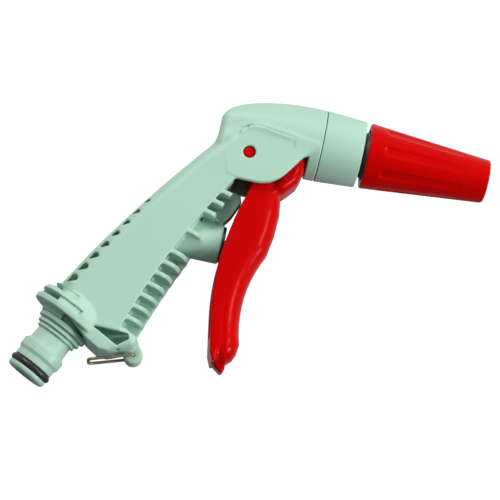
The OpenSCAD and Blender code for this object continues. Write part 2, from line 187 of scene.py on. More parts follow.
def add_world():
    """A white studio: white behind the gun, and a light that fades towards the floor."""
    world = bpy.data.worlds.new("studio")
    world.use_nodes = True
    tree = world.node_tree
    tree.nodes.clear()
    coords = tree.nodes.new("ShaderNodeTexCoord")
    axes = tree.nodes.new("ShaderNodeSeparateXYZ")
    ramp = tree.nodes.new("ShaderNodeValToRGB")
    glow = tree.nodes.new("ShaderNodeBackground")
    white = tree.nodes.new("ShaderNodeBackground")
    rays = tree.nodes.new("ShaderNodeLightPath")
    pick = tree.nodes.new("ShaderNodeMixShader")
    out = tree.nodes.new("ShaderNodeOutputWorld")
    shift = tree.nodes.new("ShaderNodeMapRange")
    shift.inputs["From Min"].default_value = -1
    ramp.color_ramp.elements[0].position = 0.3
    ramp.color_ramp.elements[0].color = (0.14, 0.15, 0.165, 1)
    ramp.color_ramp.elements[1].position = 0.85
    ramp.color_ramp.elements[1].color = (0.6, 0.6, 0.6, 1)
    white.inputs["Color"].default_value = (1, 1, 1, 1)
    white.inputs["Strength"].default_value = 1.05
    tree.links.new(coords.outputs["Generated"], axes.inputs[0])
    tree.links.new(axes.outputs["Z"], shift.inputs["Value"])
    tree.links.new(shift.outputs["Result"], ramp.inputs["Fac"])
    tree.links.new(ramp.outputs["Color"], glow.inputs["Color"])
    tree.links.new(rays.outputs["Is Camera Ray"], pick.inputs["Fac"])
    tree.links.new(glow.outputs[0], pick.inputs[1])
    tree.links.new(white.outputs[0], pick.inputs[2])
    tree.links.new(pick.outputs[0], out.inputs["Surface"])
    bpy.context.scene.world = world


def add_floor():
    """A pale floor, well below the gun because the camera looks up from under it."""
    half = 3
    height = -0.32
    data = bpy.data.meshes.new("studio_floor")
    data.from_pydata(
        [(-half, -half, height), (half, -half, height), (half, half, height), (-half, half, height)],
        [], [(0, 1, 2, 3)])
    floor = bpy.data.objects.new("studio_floor", data)
    bpy.context.scene.collection.objects.link(floor)
    data.materials.append(plastic("floor_paint", (0.86, 0.86, 0.85), 0.8, grain=0.02))
    floor.visible_diffuse = False
    floor.visible_glossy = False


# ---- Materials ----

def noise(tree, scale, detail=3.0, stretch=(1, 1, 1)):
    """Noise in object space; scale is in features per metre."""
    coords = tree.nodes.new("ShaderNodeTexCoord")
    mapping = tree.nodes.new("ShaderNodeMapping")
    mapping.inputs["Scale"].default_value = stretch
    texture = tree.nodes.new("ShaderNodeTexNoise")
    texture.inputs["Scale"].default_value = scale
    texture.inputs["Detail"].default_value = detail
    tree.links.new(coords.outputs["Object"], mapping.inputs["Vector"])
    tree.links.new(mapping.outputs["Vector"], texture.inputs["Vector"])
    return texture.outputs["Fac"]


def between(tree, value, low, high):
    """The value, stretched from 0.3..0.7 to low..high."""
    node = tree.nodes.new("ShaderNodeMapRange")
    node.inputs["From Min"].default_value = 0.3
    node.inputs["From Max"].default_value = 0.7
    node.inputs["To Min"].default_value = low
    node.inputs["To Max"].default_value = high
    tree.links.new(value, node.inputs["Value"])
    return node.outputs["Result"]


def tinted(tree, value, dark, light):
    """A colour that wanders between two shades."""
    mix = tree.nodes.new("ShaderNodeMix")
    mix.data_type = "RGBA"
    mix.inputs["A"].default_value = (*dark, 1)
    mix.inputs["B"].default_value = (*light, 1)
    tree.links.new(value, mix.inputs["Factor"])
    return mix.outputs["Result"]


def bumped(tree, shader, height, strength, distance):
    """A fine relief on the shader's normal; distance is in metres."""
    bump = tree.nodes.new("ShaderNodeBump")
    bump.inputs["Strength"].default_value = strength
    bump.inputs["Distance"].default_value = distance
    tree.links.new(height, bump.inputs["Height"])
    tree.links.new(bump.outputs["Normal"], shader.inputs["Normal"])


def new_material(name):
    """An empty material and its shader node."""
    material = bpy.data.materials.new(name)
    material.use_nodes = True
    return material, material.node_tree, material.node_tree.nodes["Principled BSDF"]


def plastic(name, colour, roughness, grain=0.04, flow=0.0, shine=0.5, sheen=(1, 1, 1)):
    """Moulded plastic: a shade that drifts a little, uneven gloss and a fine orange-peel relief."""
    material, tree, shader = new_material(name)
    drift = noise(tree, 45, stretch=(1, 1, 1 + flow))
    dark = tuple(c * (1 - grain) for c in colour)
    light = tuple(min(1, c * (1 + grain)) for c in colour)
    tree.links.new(tinted(tree, drift, dark, light), shader.inputs["Base Color"])
    gloss = between(tree, noise(tree, 220), roughness * 0.9, roughness * 1.1)
    tree.links.new(gloss, shader.inputs["Roughness"])
    shader.inputs["Specular IOR Level"].default_value = shine
    shader.inputs["Specular Tint"].default_value = (*sheen, 1)
    bumped(tree, shader, noise(tree, 1100, 2), 0.25, 0.00002)
    return material


def rubber(name):
    """Black nitrile rubber with a dusty bloom."""
    material, tree, shader = new_material(name)
    bloom = noise(tree, 600, 5)
    shade = tinted(tree, bloom, (0.012, 0.013, 0.013), (0.03, 0.032, 0.032))
    tree.links.new(shade, shader.inputs["Base Color"])
    tree.links.new(between(tree, bloom, 0.28, 0.42), shader.inputs["Roughness"])
    bumped(tree, shader, noise(tree, 2500, 2), 0.3, 0.00002)
    return material


def metal(name, dark, light, roughness, stretch):
    """Drawn or turned metal with fine lines along one way."""
    material, tree, shader = new_material(name)
    lines = noise(tree, 400, 4, stretch)
    tree.links.new(tinted(tree, lines, dark, light), shader.inputs["Base Color"])
    tree.links.new(between(tree, lines, roughness * 0.8, roughness * 1.3), shader.inputs["Roughness"])
    shader.inputs["Metallic"].default_value = 1.0
    bumped(tree, shader, lines, 0.2, 0.00002)
    return material


def make_materials():
    """One material for each of the record's slots."""
    return {
        "mint_plastic": plastic("mint_plastic", (0.43, 0.667, 0.53), 0.42, grain=0.025, flow=-0.6, shine=0.4),
        "red_plastic": plastic("red_plastic", (0.58, 0.0004, 0.0004), 0.24, grain=0.05, shine=0.15,
                               sheen=(1, 0.3, 0.33)),
        "dark_plastic": plastic("dark_plastic", (0.085, 0.09, 0.088), 0.4),
        "black_plastic": plastic("black_plastic", (0.015, 0.016, 0.016), 0.35),
        "white_plastic": plastic("white_plastic", (0.78, 0.78, 0.75), 0.4),
        "black_rubber": rubber("black_rubber"),
        "spring_steel": metal("spring_steel", (0.42, 0.43, 0.44), (0.66, 0.67, 0.68), 0.25, (1, 6, 6)),
        "brass": metal("brass", (0.5, 0.33, 0.12), (0.78, 0.58, 0.27), 0.28, (8, 1, 1)),
        "zinc_wire": metal("zinc_wire", (0.36, 0.31, 0.2), (0.52, 0.46, 0.32), 0.5, (1, 5, 5)),
    }


SLOT_OF_NODE = {part["node"]: part["material_slot"] for part in frame["record"]["subparts"]}


# ---- Meshes ----

def add_piece(name, points, faces, node, body, materials):
    """A smooth mesh from points in millimetres, which stands for a CAD node and rides on its body."""
    data = bpy.data.meshes.new(name)
    data.from_pydata((np.asarray(points, float) * MM).tolist(), [], faces)
    data.validate()
    data.shade_smooth()
    piece = bpy.data.objects.new(name, data)
    bpy.context.scene.collection.objects.link(piece)
    data.materials.append(materials[SLOT_OF_NODE[node]])
    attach(piece, body)
    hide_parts(node)
    return piece


def add_turned(name, profile, sides, place, node, materials):
    """A piece of the body, turned from its profile and moved to its axis by place()."""
    points, faces = lathe(profile, sides)
    add_piece(name, place(points), faces, node, "body", materials)


def lathe(profile, sides, sink=None):
    """Points and faces of a closed [along, radius] profile turned round the X axis."""
    turns = np.arange(sides) * 2 * math.pi / sides
    along, radius = (np.array(column)[:, None] for column in zip(*profile))
    radius = np.repeat(radius, sides, 1)
    along = np.repeat(along, sides, 1)
    if sink is not None:
        radius = radius - sink(along, turns[None, :])
    points = np.stack([along, radius * np.cos(turns), radius * np.sin(turns)], 2)
    row = np.arange(len(profile))[:, None]
    column = np.arange(sides)[None, :]
    next_row = (row + 1) % len(profile)
    next_column = (column + 1) % sides
    faces = np.stack([
        row * sides + column, row * sides + next_column,
        next_row * sides + next_column, next_row * sides + column,
    ], 2)
    return points.reshape(-1, 3), faces.reshape(-1, 4).tolist()


def rounded(corner_list, steps=4):
    """A closed outline from [along, radius, fillet] corners, with an arc at each fillet above 0."""
    count = len(corner_list)
    outline = []
    for i, (a, b, fillet) in enumerate(corner_list):
        here = np.array([a, b], float)
        if fillet == 0:
            outline.append(here)
            continue
        before = np.array(corner_list[i - 1][:2], float) - here
        after = np.array(corner_list[(i + 1) % count][:2], float) - here
        before /= np.linalg.norm(before)
        after /= np.linalg.norm(after)
        half = math.acos(np.clip(before @ after, -1, 1)) / 2
        middle = before + after
        middle /= np.linalg.norm(middle)
        centre = here + middle * fillet / math.sin(half)
        start = here + before * fillet / math.tan(half) - centre
        end = here + after * fillet / math.tan(half) - centre
        for k in range(steps + 1):
            way = start * (1 - k / steps) + end * k / steps
            outline.append(centre + way * fillet / np.linalg.norm(way))
    return outline


def on_barrel(points):
    """Points turned about X, moved up to the barrel's axis."""
    return points + np.array([0, 0, BARREL_Z])


def on_valve(points):
    """Points turned about X, moved up to the valve's axis."""
    return points + np.array([0, 0, VALVE_Z])


def on_plug(points):
    """Points turned about X, laid along the plug's leaning axis."""
    up = np.array([math.sin(LEAN), 0, math.cos(LEAN)])
    front = np.array([math.cos(LEAN), 0, -math.sin(LEAN)])
    return points[:, :1] * up + points[:, 2:] * front + points[:, 1:2] * np.array([0, 1, 0])


# ---- Solid fields: negative inside, in millimetres ----

def smax(a, b, k):
    """The larger of two fields, with the edge where they meet rounded over k."""
    h = np.clip(0.5 + 0.5 * (a - b) / k, 0, 1)
    return b + (a - b) * h + k * h * (1 - h)


def smin(a, b, k):
    """The smaller of two fields, with the corner where they meet filled over k."""
    return -smax(-a, -b, k)


def fade(value, low, high):
    """0 below low, 1 above high, smooth between."""
    t = np.clip((value - low) / (high - low), 0, 1)
    return t * t * (3 - 2 * t)


def near_line(points, x, z):
    """Distance to an open line of [x, z] points."""
    best = np.inf
    for a, b in zip(points[:-1], points[1:]):
        run = np.subtract(b, a)
        dx, dz = x - a[0], z - a[1]
        t = np.clip((dx * run[0] + dz * run[1]) / (run @ run), 0, 1)
        best = np.minimum(best, (dx - run[0] * t) ** 2 + (dz - run[1] * t) ** 2)
    return np.sqrt(best)


def plate(points, x, z):
    """Signed distance to a closed outline of [x, z] points."""
    inside = np.zeros(np.broadcast(x, z).shape, bool)
    for a, b in zip(points, [*points[1:], points[0]]):
        if a[1] == b[1]:
            continue
        crosses = (z < a[1]) != (z < b[1])
        at = a[0] + (z - a[1]) * (b[0] - a[0]) / (b[1] - a[1])
        inside ^= crosses & (x < at)
    return np.where(inside, -1, 1) * near_line([*points, points[0]], x, z)


def teardrop(tip, end, tip_r, end_r, x, z):
    """Distance to a line that swells from a thin tip to a round end."""
    run = np.subtract(end, tip)
    dx, dz = x - tip[0], z - tip[1]
    t = np.clip((dx * run[0] + dz * run[1]) / (run @ run), 0, 1)
    return np.hypot(dx - run[0] * t, dz - run[1] * t) - (tip_r + (end_r - tip_r) * t)


def arc(centre, radius, start, end, count=10):
    """Points on an arc, from one angle to another, in degrees."""
    angles = np.radians(np.linspace(start, end, count + 1))
    return [(centre[0] + radius * math.cos(a), centre[1] + radius * math.sin(a)) for a in angles]


def curve(points, steps=5):
    """A smooth open line through the points."""
    before = 2 * np.array(points[0]) - points[1]
    after = 2 * np.array(points[-1]) - points[-2]
    p = [np.array(q, float) for q in [before, *points, after]]
    line = []
    for a, b, c, d in zip(p, p[1:], p[2:], p[3:]):
        for t in np.arange(steps) / steps:
            line.append(tuple(0.5 * (2 * b + (c - a) * t + (2 * a - 5 * b + 4 * c - d) * t**2
                                     + (3 * b - a - 3 * c + d) * t**3)))
    return [*line, tuple(p[-2])]


def disc(centre, radius, x, z):
    """Distance to a round bar along Y."""
    return np.hypot(x - centre[0], z - centre[1]) - radius


def round_bar(x, y, z, axis_z, radius, start, end, k=0.3):
    """A round bar along X."""
    around = np.hypot(y, z - axis_z) - radius
    return smax(around, np.maximum(start - x, x - end), k)


def surface_net(values, low, step):
    """Points and four-sided faces of the surface where a grid of values crosses zero."""
    inside = values < 0
    shape = np.array(values.shape)
    weights = np.array([shape[1] * shape[2], shape[2], 1])
    owners, crossings, quads = [], [], []
    for axis in range(3):
        unit = np.eye(3, dtype=int)[axis]
        side_b = np.eye(3, dtype=int)[(axis + 1) % 3]
        side_c = np.eye(3, dtype=int)[(axis + 2) % 3]
        count = shape[axis] - 1
        first = np.take(inside, range(count), axis)
        second = np.take(inside, range(1, count + 1), axis)
        at = np.argwhere(first != second)
        v0 = values[tuple(at.T)]
        v1 = values[tuple((at + unit).T)]
        crossing = at + unit * (v0 / (v0 - v1))[:, None]
        ring = [at, at - side_b, at - side_b - side_c, at - side_c]
        cells = np.stack([cell @ weights for cell in ring], 1)
        outward = v0 < 0
        quads.append(np.where(outward[:, None], cells, cells[:, ::-1]))
        owners.append(cells.ravel())
        crossings.append(np.repeat(crossing, 4, 0))
    names, index = np.unique(np.concatenate(owners), return_inverse=True)
    crossings = np.concatenate(crossings)
    total = np.bincount(index)
    points = np.stack([np.bincount(index, crossings[:, c]) / total for c in range(3)], 1)
    faces = np.searchsorted(names, np.concatenate(quads)).tolist()
    return points * step + low, faces


def skin(field, low, high, step):
    """Points and faces of a field that is the same on both sides of Y = 0."""
    x = np.arange(low[0], high[0], step, dtype=np.float32)[:, None, None]
    z = np.arange(low[1], high[1], step, dtype=np.float32)[None, None, :]
    count = math.ceil(high[2] / step) + 1
    y = ((np.arange(count, dtype=np.float32) - count + 0.5) * step)[None, :, None]
    half = field(x, y, z).astype(np.float32)
    whole = np.concatenate([half, half[:, ::-1, :]], 1)
    return surface_net(whole, np.array([low[0], float(y[0, 0, 0]), low[1]]), step)


# ---- Grip and head ----

def rear_line():
    """The grip's rear edge, from its foot to the head."""
    return curve([
        (2.3, 27.3), (11.5, 42.9), (21.5, 58.15), (30, 70.3), (36.4, 78.9), (42.8, 87.2), (47.6, 93.2)])


def fan_point(lean, radius=FAN_R):
    """A point on the grip's front arc, at an angle from the horizontal."""
    return (FAN_CENTRE[0] - radius * math.cos(lean), FAN_CENTRE[1] + radius * math.sin(lean))


def fan_place(x, z):
    """How far each place is from the centre of the front arc, and how far up the arc from its foot."""
    from_centre = np.hypot(x - FAN_CENTRE[0], z - FAN_CENTRE[1])
    along = FAN_R * (np.arctan2(z - FAN_CENTRE[1], FAN_CENTRE[0] - x) - FAN_FOOT)
    return from_centre, along


def grip_half(z):
    """The grip's half width, which grows from its foot to the cheeks."""
    return np.interp(z, [10, 60, 79, 86], [11.6, 12.7, 12.95, CHEEK_HALF]).astype(np.float32)


def grip_panel(x, y, z):
    """The grip's flat sides between its rear edge and its front arc, well rounded at the rear."""
    crown = [(49.5, 96.5), (55.2, 99.8), (60.8, 101.6)]
    front = [fan_point(a) for a in np.linspace(FAN_TOP, FAN_FOOT, 24)]
    outline = [
        (4, 17), *rear_line(), *crown, (64.3, 101.2), (76.6, 99.7), (80, 95), (70, 84), (58, 79.4),
        *front, (27.5, 9), (24, 4.6), (20.5, 4.6), (15.5, 7.4)]
    from_rear = near_line([*rear_line(), *crown[:2]], x, z)
    k = 6 - 5.5 * fade(from_rear, 4, 11)
    return smax(plate(outline, x, z), np.abs(y) - grip_half(z), k)


def cheeks(x, y, z):
    """The flat cheeks on both sides of the trigger, with a crisp lower edge."""
    edge = curve([
        (84.8, 98.6), (80.8, 92.5), (76.9, 86.6), (73.8, 82.8), (70.5, 80.5), (66.8, 79.35),
        (62.2, 79.2), (58, 79.3), (53.4, 80.2)])
    outline = [*edge, (50.5, 89), (56, 97.5), (60.8, 100.6), (64.3, 100.6), (76.6, 99.4)]
    return smax(plate(outline, x, z), np.abs(y) - CHEEK_HALF, 0.75)


def crease_line():
    """The line where the head meets the grip and the cheeks."""
    return [
        (46, 91), (48.9, 92.6), (55.2, 98.7), (58, 100.3), (60.8, 101), (64.3, 100.9), (70.5, 99.9),
        (76.6, 99.4)]


def head(x, y, z):
    """The round barrel, which turns into an arch with upright sides and a lower back."""
    run = np.clip((HEAD_CROWN_X - x) / (HEAD_CROWN_X - HEAD_BACK_X + 0.3), 0, 0.995)
    rise = BARREL_R * (1 - run**2) ** (1 / HEAD_ARCH_POWER)
    half = np.interp(x, [48, 64, 77, 87], [12.9, 13.35, 13.6, BARREL_R]).astype(np.float32)
    dz = z - BARREL_Z
    dz = np.where(dz < 0, dz * fade(x, 70, 77), dz)
    reach = np.sqrt((y / half) ** 2 + (dz / rise) ** 2)
    slope = np.sqrt((y / half**2) ** 2 + (dz / rise**2) ** 2) + 1e-4
    arch = reach * (reach - 1) / slope
    bottom = np.interp(x, *zip(*crease_line(), (79, 86))).astype(np.float32) - z
    solid = smax(smax(arch, 0.7 * bottom, 0.5), HEAD_BACK_X - x, 3)
    return smax(solid, x - SEAM_X + SEAM_GAP, 0.35)


def fin_gap(from_centre, z):
    """Distance up or down to the middle of the nearest fin."""
    level = z + FIN_DROOP * (FAN_R - from_centre)
    gap = np.inf
    for i in FINS:
        height = fan_point(FAN_FOOT + (FIN_FIRST + FIN_PITCH * i) / FAN_R)[1]
        gap = np.minimum(gap, np.abs(level - height))
    return gap


def front_undercut(x, y, z):
    """The dark undercuts behind the grip's front edge, between the fins."""
    depth = 4.5
    rim = 1.2
    middle_half = 4.5
    from_centre, along = fan_place(x, z)
    rows = np.maximum(rim - along, along - FIN_FIRST - FIN_PITCH * FINS[-1])
    clear_of_boss = BOSS_R + 0.6 - np.abs(z - VALVE_Z)
    deep = np.maximum(from_centre - FAN_R - depth, FAN_R - 0.6 - from_centre)
    deep = np.maximum(deep, FIN_HALF - fin_gap(from_centre, z))
    across = np.maximum(np.abs(y) - grip_half(z) + rim, middle_half - np.abs(y))
    return np.maximum(np.maximum(deep, across), np.maximum(rows, clear_of_boss))


def front_fins(x, y, z):
    """The thin web down the grip's front and the nearly level plates that stand across it."""
    power = FIN_OUTLINE_POWER
    from_centre, along = fan_place(x, z)
    half = grip_half(z) - 0.3
    across = np.abs(y) / half
    out = np.maximum(FAN_R - from_centre, 0) / FIN_BULGE
    reach = (across**power + out**power) ** (1 / power) + 0.01
    slope = np.hypot(across ** (power - 1) / half, out ** (power - 1) / FIN_BULGE) * reach ** (1 - power)
    envelope = np.maximum((reach - 1) / slope, from_centre - FAN_R - 1)
    fins = smax(envelope, fin_gap(from_centre, z) - FIN_HALF, 0.35)
    web = np.maximum(FAN_R - FIN_BULGE - from_centre, from_centre - FAN_R - 1)
    web = smax(web, np.abs(y) - WEB_HALF, 0.7)
    length = FAN_R * (FAN_TOP - FAN_FOOT)
    return np.maximum(smin(fins, web, 0.5), np.maximum(-1 - along, along - length))


def housing_block(x, y, z):
    """The part of the housing that stands inside the lever's hollow and holds the riser."""
    block = plate([
        (50, 75.9), (58.2, 75.9), (60.8, 75), (61.6, 72.5), (59, 66.5), (55.6, 61.5), (48, 60)], x, z)
    return smax(block, np.abs(y) - BLOCK_HALF, 0.5)


def skirt(x, y, z):
    """The round skirt and its dome at the foot of the grip, with two slots across its rear."""
    up = x * math.sin(LEAN) + z * math.cos(LEAN)
    rear = z * math.sin(LEAN) - x * math.cos(LEAN)
    around = np.hypot(rear, y)
    over = np.maximum(up - SKIRT_RISE, 0)
    reach = np.sqrt((around / SKIRT_R) ** 2 + (over / SKIRT_DOME) ** 2)
    slope = np.sqrt((around / SKIRT_R**2) ** 2 + (over / SKIRT_DOME**2) ** 2) + 1e-4
    dome = smax(reach * (reach - 1) / slope, SKIRT_BASE - up, 0.8)
    for height, groove_end in ((18.95, -4), (23.1, 0.6)):
        band = np.abs(up - height) - SKIRT_SLOT_HALF
        deep = np.maximum(np.maximum(band, 6.2 - rear), np.maximum(SKIRT_CORE_R - around, 1.3 - np.abs(y)))
        groove = np.maximum(np.maximum(band + 0.1, groove_end - rear), -0.9 - dome)
        dome = smax(dome, -np.minimum(deep, groove), 0.3)
    hollow = np.maximum(np.maximum(around - 14, 7.6 - around), np.maximum(up - 20.5, rear - 1.5))
    dome = smax(dome, -hollow, 0.3)
    tab = smax(smax(around - 10.8, 1.5 - rear, 0.5), np.maximum(13.4 - up, up - 17), 0.3)
    return np.minimum(dome, tab)


def foot(x, y, z):
    """The block below the lowest fin and the lug that holds the wire clip."""
    block = smax(plate([
        (20, 16), (26.5, 13.4), (31, 11.3), (32, 10.5), (31.5, 9.6), (24.5, 6.7), (20.8, 6.6), (16.6, 9.2),
        (14.8, 12)], x, z) - 2.2, np.abs(y) - 11.5, 4)
    eye = disc(CLIP_EYE, LUG_R, x, z)
    neck = plate([(29, 9.5), (34.4, 11), (CLIP_EYE[0] + 3.2, CLIP_EYE[1] + 1), (30.4, 5)], x, z)
    lug = smax(smin(eye, neck, 1), np.abs(y) - LUG_HALF, 0.8)
    return smin(block, lug, 0.8)


def rear_pockets(x, z):
    """Leaf-shaped pockets down the rear edge, smaller towards the head."""
    best = np.inf
    slant = math.radians(39)
    way = np.array([math.cos(slant), math.sin(slant)])
    for i in range(8):
        centre = np.array([5.6 + 3 * i, 28.45 + 5.02 * i])
        long_half = 2.1 - 0.13 * i
        end_r = 1.3 - 0.11 * i
        tip = centre - way * (long_half + 0.3)
        end = centre + way * (long_half - end_r)
        best = np.minimum(best, teardrop(tip, end, 0.1, end_r, x, z))
    return best


def trigger_space(x, y, z):
    """Where the trigger swings: between the cheeks, and past the fins for its two sides."""
    roof_z = 95.4
    front_x = 82.97
    between_cheeks = plate([
        (56.2, 88), (PIVOT[0], roof_z), (front_x, roof_z), (front_x, 70), (57, 70), (57, 80)], x, z)
    hub = disc(PIVOT, 5.2, x, z)
    swept = plate([
        (61.2, 81), (55.8, 69.9), (53.1, 64.1), (50.1, 57.2), (47.6, 51), (45.7, 43), (62, 43),
        (66, 81)], x, z)
    swept = np.maximum(swept, BOSS_R + 0.05 - np.abs(z - VALVE_Z))
    swept = np.maximum(swept, np.abs(y) - LEVER_HALF - SWING_GAP)
    return np.minimum(np.maximum(np.minimum(between_cheeks, hub), np.abs(y) - SLOT_HALF), swept)


def water_ways(x, y, z):
    """The bores that carry the water from the plug past the valve to the barrel."""
    up = x * math.sin(LEAN) + z * math.cos(LEAN)
    around = np.hypot(z * math.sin(LEAN) - x * math.cos(LEAN), y)
    neck = np.maximum(around - 7.5, up - 27.2)
    channel = np.maximum(around - 4.8, np.maximum(26 - up, up - 58))
    bores = np.minimum(neck, channel)
    for radius, start, end in ((3.6, 24.5, 30), (5.2, 29, 47), (6.2, 46, BOSS_END_X + 1)):
        bores = np.minimum(bores, round_bar(x, y, z, VALVE_Z, radius, start, end, 0.1))
    riser = np.maximum(np.hypot(x - RISER_X, y) - RISER_R, np.maximum(57 - z, z - 101))
    bores = np.minimum(bores, riser)
    for radius, start, end in ((4.2, 49.4, 79), (5.6, SPIGOT_X, 85), (SPIGOT_R, 84.6, SEAM_X + 1)):
        bores = np.minimum(bores, round_bar(x, y, z, BARREL_Z, radius, start, end, 0.1))
    return bores


def body_field(x, y, z):
    """The whole mint housing."""
    solid = smin(grip_panel(x, y, z), cheeks(x, y, z), 0.25)
    solid = smin(solid, head(x, y, z), 2.4)
    solid = smin(solid, front_fins(x, y, z), 0.4)
    solid = smax(solid, -front_undercut(x, y, z), 0.3)
    solid = smin(solid, round_bar(x, y, z, VALVE_Z, BOSS_R, 36, BOSS_END_X, 0.6), 0.9)
    solid = smin(solid, foot(x, y, z), 0.8)
    solid = smin(solid, skirt(x, y, z), 0.5)
    crease = near_line(curve(crease_line()[2:]), x, z)
    solid = smax(solid, smin(0.3 - crease, solid + 0.2, 0.1), 0.15)
    leaves = np.maximum(rear_pockets(x, z), 6.5 - np.abs(y))
    solid = smax(solid, -leaves, 0.4)
    triangle = plate([(17.4, 12.5), (30, 12.1), (30.6, 10.6), (26.9, 7.6)], x, z) - 0.3
    cavity = np.maximum(np.maximum(triangle - 1.4, np.abs(y) - 9.4), 0.6 - np.abs(y))
    solid = smax(solid, -np.minimum(np.maximum(triangle, 1.5 - np.abs(y)), cavity), 0.5)
    solid = smax(solid, -trigger_space(x, y, z), 0.5)
    solid = smin(solid, housing_block(x, y, z), 0.3)
    solid = smax(solid, -water_ways(x, y, z), 0.2)
    pin_hole = disc(PIVOT, PIN_R, x, z) - 0.08
    solid = smax(solid, -pin_hole, 0.5)
    return smax(solid, -disc(CLIP_EYE, WIRE_HOLE_R, x, z), 0.3)


def limit_triangles(piece, most):
    """Thins a mesh that has too many triangles, flat places first."""
    triangles = 2 * len(piece.data.polygons)
    if triangles > most:
        thin = piece.modifiers.new("thin", "DECIMATE")
        thin.ratio = most / triangles


def make_body(materials):
    """The mint housing: grip, head, boss, skirt and lug in one moulding."""
    step = 0.37
    points, faces = skin(body_field, (-17, -2), (SEAM_X + 2, 118.5, SKIRT_R + 1), step)
    piece = add_piece("body_shell_moulding", points, faces, "body_shell", "body", materials)
    limit_triangles(piece, BODY_TRIANGLES)


# ---- Trigger ----

def lever_front():
    """The lever's front edge, from under the cheeks to its tip."""
    return [(73, 94), (73.5, 86), (75, 80), (76.3, 75.5), (76.9, 70.5), (76.5, 62),
            *arc(LEVER_ARC_CENTRE, LEVER_ARC_R, 153, 196), (71.3, 14.6), (70.2, 12.2), (67.6, 9.8)]


def lever_rear():
    """The lever's rear edge, from its tip to the pivot."""
    return [(62.6, 9.3), *curve([
        (61, 13), (59.2, 24), (57.9, 33), (57.4, 43), (58, 52), (59.8, 63), (61.2, 69.4), (63.4, 79),
        (58.8, 86.6)])]


def trigger_field(x, y, z):
    """The red lever: strongly rounded in front, hollow behind, with an ear and a hooked tip."""
    front = near_line(lever_front(), x, z)
    rear = near_line(lever_rear(), x, z)
    k = 8.5 - 7.7 * fade(front / (front + rear + 0.01), 0.5, 0.85)
    sides = np.abs(y) - LEVER_HALF
    lever = smax(plate([(PIVOT[0], 94.4), *lever_front(), *lever_rear()], x, z), sides, k)
    ear = plate([
        (70, 94.4), (81.7, 94.8), (82.6, 93.8), (82.4, 91), (82.6, 89.3), (82.2, 86.6), (81.1, 83.8),
        (78.5, 80.7), (76.7, 78.8), (72, 77)], x, z)
    solid = smin(lever, smax(ear, sides, 5.2), 1.2)
    solid = smin(solid, smax(disc(PIVOT, 4.2, x, z), sides, 0.5), 0.5)
    hook = plate([(67.9, 11), (68.1, 8.2), (67.4, 6.6), (66.6, 6.4), (63.4, 8.6), (62.6, 11)], x, z)
    solid = smin(solid, smax(hook, np.abs(y) - 4.2, 1.2), 0.8)
    hollow = plate([
        (40, 77.6), (76.4 - LEVER_WALL, 75.4), (76.9 - LEVER_WALL, 70.5), (76.5 - LEVER_WALL, 62),
        *arc((LEVER_ARC_CENTRE[0] - LEVER_WALL, LEVER_ARC_CENTRE[1]), LEVER_ARC_R, 153, 194), (40, 16)], x, z)
    hollow = smax(hollow, np.abs(y) - LEVER_INNER_HALF, 2.5)
    pad_r = 2
    pad_x = STEM_TIP_X + pad_r + 0.1
    pad = np.maximum(disc((pad_x, VALVE_Z), pad_r, x, z), np.abs(y) - 4)
    rib = np.maximum(np.maximum(pad_x - x, np.abs(z - VALVE_Z) - 1.6), np.abs(y) - 1.5)
    hollow = np.maximum(hollow, -np.minimum(pad, rib))
    solid = smax(solid, -hollow, 0.5)
    pin_hole = disc(PIVOT, PIN_R, x, z) - 0.05
    return smax(solid, -pin_hole, 0.2)


def make_trigger(materials):
    """The red lever in one moulding."""
    step = 0.36
    points, faces = skin(trigger_field, (55, 4.5), (85, 97, LEVER_HALF + 1), step)
    piece = add_piece("trigger_lever", points, faces, "trigger", "trigger", materials)
    limit_triangles(piece, LEVER_TRIANGLES)


# ---- Turned pieces ----

def make_plug(materials):
    """The quick-connect plug, with its O-ring groove, locking shoulder and three rings."""
    profile = rounded([
        (-10.2, PLUG_BORE_R, 0.4), (-10.2, 7.95, 1.3), (-8.1, 7.95, 0.3), (-8.1, 6.05, 0.2),
        (-5.3, 6.05, 0.2), (-5.3, 7.95, 0.3), (-2.8, 7.95, 0.4), (-1.5, PLUG_R, 0.3), (1.5, PLUG_R, 0.5),
        (2.8, 7.5, 0.9), (7.4, 7.15, 0.2), (7.9, 7.3, 0.2), (7.9, 8.3, 0.25), (8.9, 8.3, 0.25),
        (8.9, 7.7, 0.15), (9.5, 7.7, 0.15), (9.5, 9.3, 0.3), (10.7, 9.3, 0.3), (10.7, 8.2, 0.15),
        (11.5, 8.2, 0.15), (11.5, 10.3, 0.35), (13.3, 10.3, 0.35), (13.3, 7.5, 0.2),
        (26, 7.5, 0), (26, PLUG_BORE_R, 0)])
    add_turned("inlet_plug_turned", profile, 128, on_plug, "inlet_plug", materials)


def make_o_ring(materials):
    """The plug's O-ring."""
    profile = arc((-6.7, 7.3), 1.25, 0, 345, 23)
    add_turned("inlet_o_ring_rubber", profile, 128, on_plug, "inlet_o_ring", materials)


def make_collar(materials):
    """The collar in front of the seam, with a small bevel at its end."""
    profile = rounded([
        (SEAM_X + SEAM_GAP, SPIGOT_R, 0), (SEAM_X + SEAM_GAP, BARREL_R, 0.15),
        (COLLAR_END_X, BARREL_R - 1, 0.45), (COLLAR_END_X, SPIGOT_R, 0.15)])
    add_turned("barrel_collar_ring", profile, 160, on_barrel, "barrel_collar", materials)


def nozzle_flutes(along, turns):
    """How far each point of the nozzle's outside is sunk by the flutes round it."""
    start, end = NOZZLE_X + 7.9, NOZZLE_X + 37
    radius = nozzle_taper(along)
    pitch = 2 * math.pi / NOZZLE_FLUTES
    off = (turns + pitch / 2) % pitch - pitch / 2
    width = radius / NOZZLE_R
    across = np.abs(off) * radius / width
    past = np.maximum(np.maximum(start - along, along - end), 0) / width
    outside = np.hypot(across, past) - 2.55
    shallower = 1 - 0.6 * (along - start) / (end - start)
    return 0.55 * shallower * fade(-outside, -0.1, 1.7)


